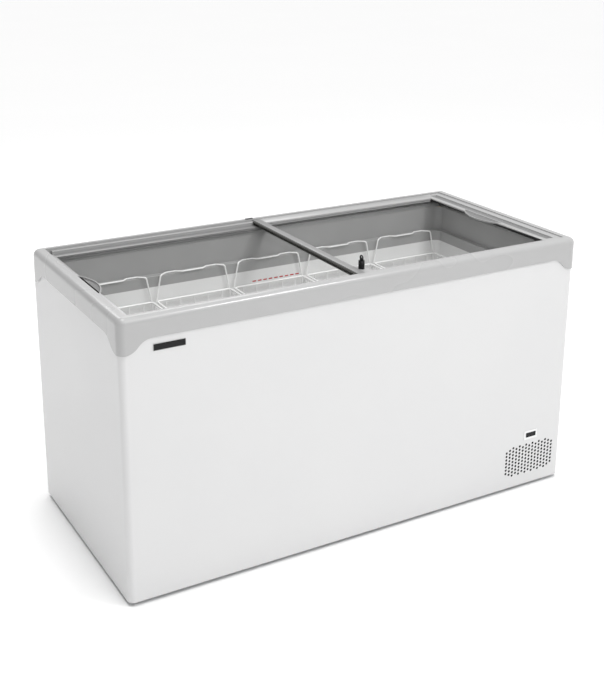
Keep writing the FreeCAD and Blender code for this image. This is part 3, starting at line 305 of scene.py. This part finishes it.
# How far a pattern is squeezed along each axis, which turns it into streaks along X or along Y.
LENGTHWAYS = (0.02, 1, 1)
CROSSWAYS = (1, 0.02, 1)
LOOKS = {
    "cabinet_white": painted_steel("cabinet_white", (0.67, 0.67, 0.67), (0.66, 0.66, 0.662)),
    "back_white": painted_steel("back_white", (0.72, 0.73, 0.73), (0.67, 0.68, 0.68), 0.4),
    "galvanised_steel": galvanised("galvanised_steel"),
    "insulation": foam("insulation"),
    "liner_white": liner("liner_white"),
    "collar_grey": extruded("collar_grey", (0.38, 0.38, 0.378), (0.36, 0.36, 0.358), LENGTHWAYS, 0.4),
    "frame_grey": moulded("frame_grey", (0.42, 0.42, 0.42), (0.416, 0.416, 0.416), 0.28, coat=0.4),
    "lid_grey": moulded("lid_grey", (0.41, 0.41, 0.41), (0.405, 0.405, 0.405), 0.3),
    "lid_glass": glass("lid_glass"),
    "brush_black": bristle("brush_black"),
    "plate_black": gloss_black("plate_black"),
    "bezel_grey": moulded("bezel_grey", (0.82, 0.82, 0.82), (0.80, 0.80, 0.80), 0.3),
    "display_black": gloss_black("display_black"),
    "black_plastic": moulded("black_plastic", (0.02, 0.02, 0.021), (0.032, 0.032, 0.033), 0.42),
    "black_rubber": rubber("black_rubber"),
    "load_red": ink("load_red"),
    "lock_black": metal("lock_black", (0.035, 0.035, 0.037), (0.06, 0.06, 0.062), 0.25),
    "plated_steel": metal("plated_steel", (0.66, 0.66, 0.65), (0.52, 0.52, 0.51), 0.25),
    "coated_wire": coated_wire("coated_wire"),
    "pot_black": enamel("pot_black"),
    "aluminium": metal("aluminium", (0.68, 0.69, 0.70), (0.6, 0.61, 0.62), 0.32, LENGTHWAYS),
    "copper": metal("copper", (0.72, 0.36, 0.20), (0.46, 0.22, 0.12), 0.3),
    "white_plastic": moulded("white_plastic", (0.76, 0.76, 0.74), (0.72, 0.72, 0.70)),
}
# Tones that pieces of one slot don't share; several of them are painted shade and painted light, as marked
# below.
BAR_GREY = extruded("bar_grey", (0.27, 0.27, 0.27), (0.24, 0.24, 0.24), CROSSWAYS, 0.36)
# Painted shade: the tracks are a darker grey than the frame plastic they are made of.
TRACK_PAINTED_SHADE = moulded("track_painted_shade", (0.36, 0.36, 0.36), (0.355, 0.355, 0.355), 0.3)
# Painted light: the tracks' lower shelf floor is a light grey that stands in for light under the slides.
TRACK_SHELF_PAINTED_LIGHT = moulded("track_shelf_painted_light", (0.75, 0.75, 0.75), (0.74, 0.74, 0.74), 0.3)
# Painted shade: the lower lid's slides are a darker grey than the upper lid's, for lying lower.
LOWER_SLIDE_PAINTED_SHADE = moulded("lower_slide_painted_shade", (0.21, 0.21, 0.21), (0.205, 0.205, 0.205), 0.35)
# Painted shade inside the lower lid's grip scoop.
SCOOP_PAINTED_SHADE = moulded("scoop_painted_shade", (0.15, 0.15, 0.15), (0.145, 0.145, 0.145), 0.45)
# Painted shade on the floor of the upper lid's end-profile groove.
GROOVE_PAINTED_SHADE = moulded("groove_painted_shade", (0.22, 0.22, 0.22), (0.20, 0.20, 0.20), 0.4)
DUST_MAT = filter_mat("dust_mat")
PALE_EDGE = metal("pale_edge", (0.62, 0.62, 0.61), (0.5, 0.5, 0.5), 0.3)


def dress_cad_nodes():
    """Gives every CAD node the material of its slot in the record."""
    slots = {part["node"]: part["material_slot"] for part in frame["record"]["subparts"]}
    for name, node in frame["nodes"].items():
        node.data.materials.clear()
        node.data.materials.append(LOOKS[slots[name]])


# ---------------------------------------------------------------- ways of making pieces
def add_mesh(name, builder, *materials, smooth=True):
    """A new object from a filled bmesh."""
    mesh = bpy.data.meshes.new(name)
    builder.to_mesh(mesh)
    builder.free()
    for polygon in mesh.polygons:
        polygon.use_smooth = smooth
    mesh.set_sharp_from_angle(angle=SHARP_ANGLE)
    for material in materials:
        mesh.materials.append(material)
    piece = bpy.data.objects.new(name, mesh)
    bpy.context.collection.objects.link(piece)
    return piece


def rounded_path(corners, bend, closed=False, steps=5):
    """The points of a line through the corners, with each corner turned into an arc of radius bend."""
    path = []
    count = len(corners)
    for index, corner in enumerate(corners):
        if not closed and index in (0, count - 1):
            path.append(corner)
            continue
        before = (corners[index - 1] - corner).normalized()
        after = (corners[(index + 1) % count] - corner).normalized()
        half_angle = before.angle(after) / 2
        reach = bend / math.tan(half_angle)
        centre = corner + (before + after).normalized() * (bend / math.sin(half_angle))
        start = corner + before * reach - centre
        turn = start.rotation_difference(corner + after * reach - centre)
        for step in range(steps + 1):
            path.append(centre + Quaternion().slerp(turn, step / steps) @ start)
    return path


def wires(name, lines, material):
    """One curve object of round wires; each line is (points, radius, closed)."""
    curve = bpy.data.curves.new(name, "CURVE")
    curve.dimensions = "3D"
    curve.bevel_depth = 1.0
    curve.bevel_resolution = 3
    curve.use_fill_caps = True
    for points, radius, closed in lines:
        spline = curve.splines.new("POLY")
        spline.points.add(len(points) - 1)
        for target, point in zip(spline.points, points):
            target.co = (*point, 1)
            target.radius = radius
        spline.use_cyclic_u = closed
    curve.materials.append(material)
    piece = bpy.data.objects.new(name, curve)
    bpy.context.collection.objects.link(piece)
    return piece


def make_softened(node, body, slot, width=0.8 * MM, material=None, recess=None, painted_shading_look=None):
    """A copy of a hard CAD part with its sharp edges broken; floors at the recess height get a second
    material that paints shade onto them (grip scoop, groove) and light onto them (track shelf).
    """
    weld_distance = 0.02 * MM
    flat_angle = math.radians(1)
    edge_angle = math.radians(40)
    builder = bmesh.new()
    builder.from_mesh(frame["nodes"][node].data)
    bmesh.ops.remove_doubles(builder, verts=builder.verts, dist=weld_distance)
    bmesh.ops.dissolve_limit(builder, angle_limit=flat_angle, verts=builder.verts, edges=builder.edges)
    sharp = [edge for edge in builder.edges
             if len(edge.link_faces) == 2 and edge.calc_face_angle() > edge_angle]
    bmesh.ops.bevel(builder, geom=sharp, offset=width, segments=2, affect="EDGES", profile=0.5,
                    clamp_overlap=True)
    for face in builder.faces:
        level = face.calc_center_median().z
        is_painted_floor = recess is not None and face.normal.z > 0.9 and abs(level - recess) < MM
        face.material_index = int(is_painted_floor)
    piece = add_mesh(f"{node}_softened", builder, material or LOOKS[slot], painted_shading_look or LOOKS[slot])
    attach(piece, body)
    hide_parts(node)


def make_softened_parts():
    """The lids' profiles and slides, the tracks, the lock's foot and the bezel; painted shade darkens the
    grip hollows, the groove floor, the lower slides and the tracks, and painted light brightens the tracks'
    lower shelf.
    """
    groove_depth = 5 * MM
    rail_play = 0.4 * MM
    bezel_edge = 0.6 * MM
    # The floors of the lower lid's grip scoop and the upper lid's groove get painted shade.
    for lid, painted_shading_look in (("lower_lid", SCOOP_PAINTED_SHADE), ("upper_lid", GROOVE_PAINTED_SHADE)):
        groove_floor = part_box(f"{lid}_end_profile")[1].z - groove_depth
        make_softened(f"{lid}_end_profile", lid, "lid_grey", recess=groove_floor, painted_shading_look=painted_shading_look)
    # The lower lid's slides get the darker grey, which is painted shade.
    make_softened("lower_lid_slides", "lower_lid", "lid_grey", material=LOWER_SLIDE_PAINTED_SHADE)
    make_softened("upper_lid_slides", "upper_lid", "lid_grey")
    make_softened("lower_lid_meeting_profile", "lower_lid", "lid_grey")
    make_softened("upper_lid_meeting_profile", "upper_lid", "lid_grey", material=BAR_GREY)
    # The tracks get a darker grey, which is painted shade, and their lower shelf floor a light grey, which
    # is painted light.
    lower_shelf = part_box("lower_lid_slides")[0].z - rail_play
    make_softened("lid_tracks", "cabinet", "frame_grey", material=TRACK_PAINTED_SHADE, recess=lower_shelf,
                  painted_shading_look=TRACK_SHELF_PAINTED_LIGHT)
    make_softened("lock_bracket", "upper_lid", "lid_grey")
    make_softened("display_bezel", "cabinet", "bezel_grey", bezel_edge)


# ---------------------------------------------------------------- baskets
def basket_lines(low, high):
    """The wires of one basket between its box's corners: a rim, hoops, and U wires both ways."""
    rim = 3 * MM
    rim_bend = 10 * MM
    thin = 1.6 * MM
    hoop_bend = 9 * MM
    thin_bend = 8 * MM
    taper = 8 * MM
    pitch = 48 * MM
    end_gap = 12 * MM
    hoop_depths = (0.5, 0.94)
    middle = (low + high) / 2
    half_x = (high.x - low.x) / 2 - rim
    half_y = (high.y - low.y) / 2 - rim
    top = high.z - rim
    floor = low.z + thin
    lines = []

    def hoop(level, inset, radius, bend):
        across = half_x - inset
        deep = half_y - inset
        corners = [Vector((middle.x + x * across, middle.y + y * deep, level))
                   for x, y in ((1, -1), (1, 1), (-1, 1), (-1, -1))]
        lines.append((rounded_path(corners, bend, closed=True), radius, True))

    hoop(top, 0, rim, rim_bend)
    for share in hoop_depths:
        hoop(top + (floor - top) * share, taper * share + thin, thin, hoop_bend)
    for axis, half, reach in ((0, half_x, half_y), (1, half_y, half_x)):
        other = 1 - axis
        count = int((half - end_gap) / pitch)
        for index in range(-count, count + 1):
            corners = []
            for side, level in ((-1, top), (-1, floor), (1, floor), (1, top)):
                drawn_in = 0 if level == top else taper
                point = Vector((0, 0, level + (2 * thin if axis and level == floor else 0)))
                point[axis] = middle[axis] + index * pitch
                point[other] = middle[other] + side * (reach - drawn_in)
                corners.append(point)
            lines.append((rounded_path(corners, thin_bend), thin, False))
    return lines


def make_baskets():
    """Welded wire cages in place of the plain trays."""
    for number in range(1, BASKETS + 1):
        low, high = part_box(f"basket_{number}")
        piece = wires(f"wire_basket_{number}", basket_lines(low, high), LOOKS["coated_wire"])
        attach(piece, f"basket_{number}_body")
        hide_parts(f"basket_{number}")


# ---------------------------------------------------------------- brush seal
def bridge(builder, first, second):
    """Closed faces between two rings of vertices, which are capped."""
    for index in range(len(first)):
        following = (index + 1) % len(first)
        builder.faces.new((first[index], first[following], second[following], second[index]))
    builder.faces.new(first)
    builder.faces.new(list(reversed(second)))


def add_bristle(builder, root, tip, thickness):
    """A three-sided hair that narrows from its root, just inside the strip, to its tip."""
    root_depth = 0.3 * MM
    tip_share = 0.6
    corners = 3
    top_ring = []
    tip_ring = []
    for corner in range(corners):
        angle = corner * 2 * math.pi / corners
        offset = Vector((math.cos(angle), math.sin(angle), 0)) * thickness
        top_ring.append(builder.verts.new(root + offset + Vector((0, 0, root_depth))))
        tip_ring.append(builder.verts.new(tip + offset * tip_share))
    bridge(builder, tip_ring, top_ring)


def make_brush():
    """Rows of stiff bristles that hang from a folded strip along the bar's left face."""
    low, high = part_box("upper_lid_brush_seal")
    strip_height = 3.5 * MM
    rows = 3
    row_pitch = 1.5 * MM
    spacing = 1.1 * MM
    thickness = 0.35 * MM
    scatter = 0.3
    lean = 0.7 * MM
    uneven_tips = 1.0 * MM
    builder = bmesh.new()
    strip_foot = high.z - strip_height
    middle_x = (low.x + high.x) / 2
    section = [(low.x, high.z), (high.x, high.z), (high.x, strip_foot), (low.x, strip_foot)]
    ends = []
    for y in (low.y, high.y):
        ends.append([builder.verts.new((x, y, z)) for x, z in section])
    bridge(builder, *ends)
    count = int((high.y - low.y) / spacing)
    for row in range(rows):
        root_x = middle_x + (row - (rows - 1) / 2) * row_pitch
        for index in range(count):
            along = index + 0.5 + random.uniform(-scatter, scatter)
            root = Vector((root_x, low.y + along * spacing, strip_foot))
            tip = root + Vector((random.uniform(-lean, lean), random.uniform(-lean, lean), 0))
            tip.z = low.z + random.uniform(0, 1) * uneven_tips
            tip.y = min(max(tip.y, low.y + thickness), high.y - thickness)
            add_bristle(builder, root, tip, thickness)
    bmesh.ops.recalc_face_normals(builder, faces=builder.faces)
    brush = add_mesh("brush_bristles", builder, LOOKS["brush_black"], smooth=False)
    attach(brush, "upper_lid")
    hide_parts("upper_lid_brush_seal")


# ---------------------------------------------------------------- front details
def make_name_plate():
    """A blank black plate with a thin raised metal edge."""
    low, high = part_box("name_plate")
    corner_round = 2 * MM
    rim = 1.1 * MM
    step = 0.25 * MM
    sunk = 0.35 * MM
    builder = bmesh.new()
    bmesh.ops.create_cube(builder, size=1)
    size = high - low
    bmesh.ops.transform(builder, matrix=Matrix.Diagonal((*size, 1)), verts=builder.verts)
    bmesh.ops.translate(builder, vec=(low + high) / 2, verts=builder.verts)
    upright = [edge for edge in builder.edges if abs(edge.verts[0].co.y - edge.verts[1].co.y) > 0.5 * size.y]
    bmesh.ops.bevel(builder, geom=upright, offset=corner_round, segments=4, affect="EDGES", profile=0.5)
    front = min(builder.faces, key=lambda face: face.calc_center_median().y)
    for face in builder.faces:
        face.material_index = 1
    bmesh.ops.inset_region(builder, faces=[front], thickness=rim)
    inner = bmesh.ops.inset_region(builder, faces=[front], thickness=step, depth=-sunk)
    front.material_index = 0
    for face in inner["faces"]:
        face.material_index = 0
    plate = add_mesh("blank_name_plate", builder, LOOKS["plate_black"], PALE_EDGE, smooth=False)
    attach(plate, "cabinet")
    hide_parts("name_plate")


def make_dust_mat():
    """The foam filter behind the vent holes, held a hair behind the sheet; its front is slightly uneven."""
    fins_low, fins_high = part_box("condenser_fins")
    sheet_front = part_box("outer_wrap")[0].y
    sheet_gap = 1.6 * MM
    thickness = 4 * MM
    left_margin = 12 * MM
    right_margin = 6 * MM
    vent_foot = 46 * MM
    vent_head = 156 * MM
    deepest_dent = 0.8 * MM
    columns = 34
    rows = 18
    front = sheet_front + sheet_gap
    low = Vector((fins_low.x - left_margin, front, vent_foot))
    high = Vector((fins_high.x + right_margin, front + thickness, vent_head))
    builder = bmesh.new()
    layers = []
    for y in (low.y, high.y):
        grid = []
        for row in range(rows + 1):
            line = []
            for column in range(columns + 1):
                x = low.x + (high.x - low.x) * column / columns
                z = low.z + (high.z - low.z) * row / rows
                dent = random.uniform(0, deepest_dent) if y == low.y else 0
                line.append(builder.verts.new((x, y + dent, z)))
            grid.append(line)
        layers.append(grid)
    for grid in layers:
        for row in range(rows):
            for column in range(columns):
                builder.faces.new((grid[row][column], grid[row][column + 1],
                                   grid[row + 1][column + 1], grid[row + 1][column]))
    front_edge, back_edge = [grid_outline(grid) for grid in layers]
    for index in range(len(front_edge)):
        following = (index + 1) % len(front_edge)
        builder.faces.new((front_edge[index], front_edge[following], back_edge[following], back_edge[index]))
    bmesh.ops.recalc_face_normals(builder, faces=builder.faces)
    mat = add_mesh("vent_dust_mat", builder, DUST_MAT)
    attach(mat, "cabinet")


def grid_outline(grid):
    """The vertices round the edge of a grid, in order."""
    left = [row[0] for row in grid]
    right = [row[-1] for row in grid]
    return grid[0] + right[1:] + grid[-1][-2::-1] + left[-2:0:-1]


# ---------------------------------------------------------------- floor, light and camera
def make_floor():
    """A plain pale floor that runs far past the object."""
    reach = 30
    builder = bmesh.new()
    corners = [builder.verts.new((x * reach, y * reach, 0)) for x, y in ((-1, -1), (1, -1), (1, 1), (-1, 1))]
    builder.faces.new(corners)
    look = Look("studio_floor", (0.99, 0.99, 0.99), 0.8, Specular_IOR_Level=0.1)
    look.tint(look.noise(1.5, 3), (0.985, 0.985, 0.985))
    floor = add_mesh("studio_floor", builder, look.material)


def add_softbox(name, place, target, size, power):
    """A rectangular area light at place, turned towards target."""
    light = bpy.data.lights.new(name, "AREA")
    light.shape = "RECTANGLE"
    light.size, light.size_y = size
    light.energy = power
    lamp = bpy.data.objects.new(name, light)
    lamp.location = place
    lamp.rotation_mode = "QUATERNION"
    lamp.rotation_quaternion = (Vector(target) - Vector(place)).to_track_quat("-Z", "Y")
    bpy.context.collection.objects.link(lamp)


def make_world():
    """White light from all round, weaker from the left end's side than from the right."""
    strength_left = 0.38
    strength_right = 0.62
    world = bpy.data.worlds.new("studio")
    world.use_nodes = True
    nodes = world.node_tree.nodes
    background = nodes["Background"]
    background.inputs["Color"].default_value = (1, 1, 1, 1)
    direction = nodes.new("ShaderNodeTexCoord")
    split = nodes.new("ShaderNodeSeparateXYZ")
    strength = nodes.new("ShaderNodeMapRange")
    strength.inputs["From Min"].default_value = -1
    strength.inputs["From Max"].default_value = 1
    strength.inputs["To Min"].default_value = strength_left
    strength.inputs["To Max"].default_value = strength_right
    links = world.node_tree.links
    links.new(direction.outputs["Generated"], split.inputs["Vector"])
    links.new(split.outputs["X"], strength.inputs["Value"])
    links.new(strength.outputs["Result"], background.inputs["Strength"])
    bpy.context.scene.world = world


def make_light():
    """Three softboxes and a wide overhead light that whitens the floor."""
    bpy.context.scene.view_settings.view_transform = "Standard"
    middle = (0, 0, 0.5)
    add_softbox("front_softbox", place=(-0.3, -3.4, 3.6), target=middle, size=(3.0, 2.0), power=42)
    add_softbox("edge_strip", place=(1.1, -1.75, 3.3), target=(-0.4, -0.35, 0.8), size=(1.0, 0.2), power=34)
    add_softbox("rear_softbox", place=(0.3, 3.2, 3.2), target=middle, size=(3.0, 1.2), power=30)
    overhead = bpy.data.lights.new("overhead", "SUN")
    overhead.energy = 1.55
    overhead.angle = math.radians(30)
    lamp = bpy.data.objects.new("overhead", overhead)
    lamp.location = (0, 0, 4)
    bpy.context.collection.objects.link(lamp)


def make_camera():
    """The view of the front and the left end, a little above the lids."""
    azimuth = math.radians(-29.93)
    elevation = math.radians(16.47)
    roll = math.radians(0.33)
    distance = 3.44
    target = Vector((-0.027, 0, 0.837))
    back = Vector((math.sin(azimuth) * math.cos(elevation), -math.cos(azimuth) * math.cos(elevation),
                   math.sin(elevation)))
    data = bpy.data.cameras.new("camera")
    data.sensor_width = 36
    data.lens = 60.5
    data.shift_y = -0.15
    camera = bpy.data.objects.new("camera", data)
    camera.location = target + back * distance
    camera.rotation_mode = "QUATERNION"
    camera.rotation_quaternion = (-back).to_track_quat("-Z", "Y") @ Quaternion((0, 0, 1), roll)
    bpy.context.collection.objects.link(camera)
    bpy.context.scene.camera = camera


dress_cad_nodes()
make_baskets()
make_brush()
make_name_plate()
make_dust_mat()
make_softened_parts()
make_floor()
make_world()
make_light()
make_camera()
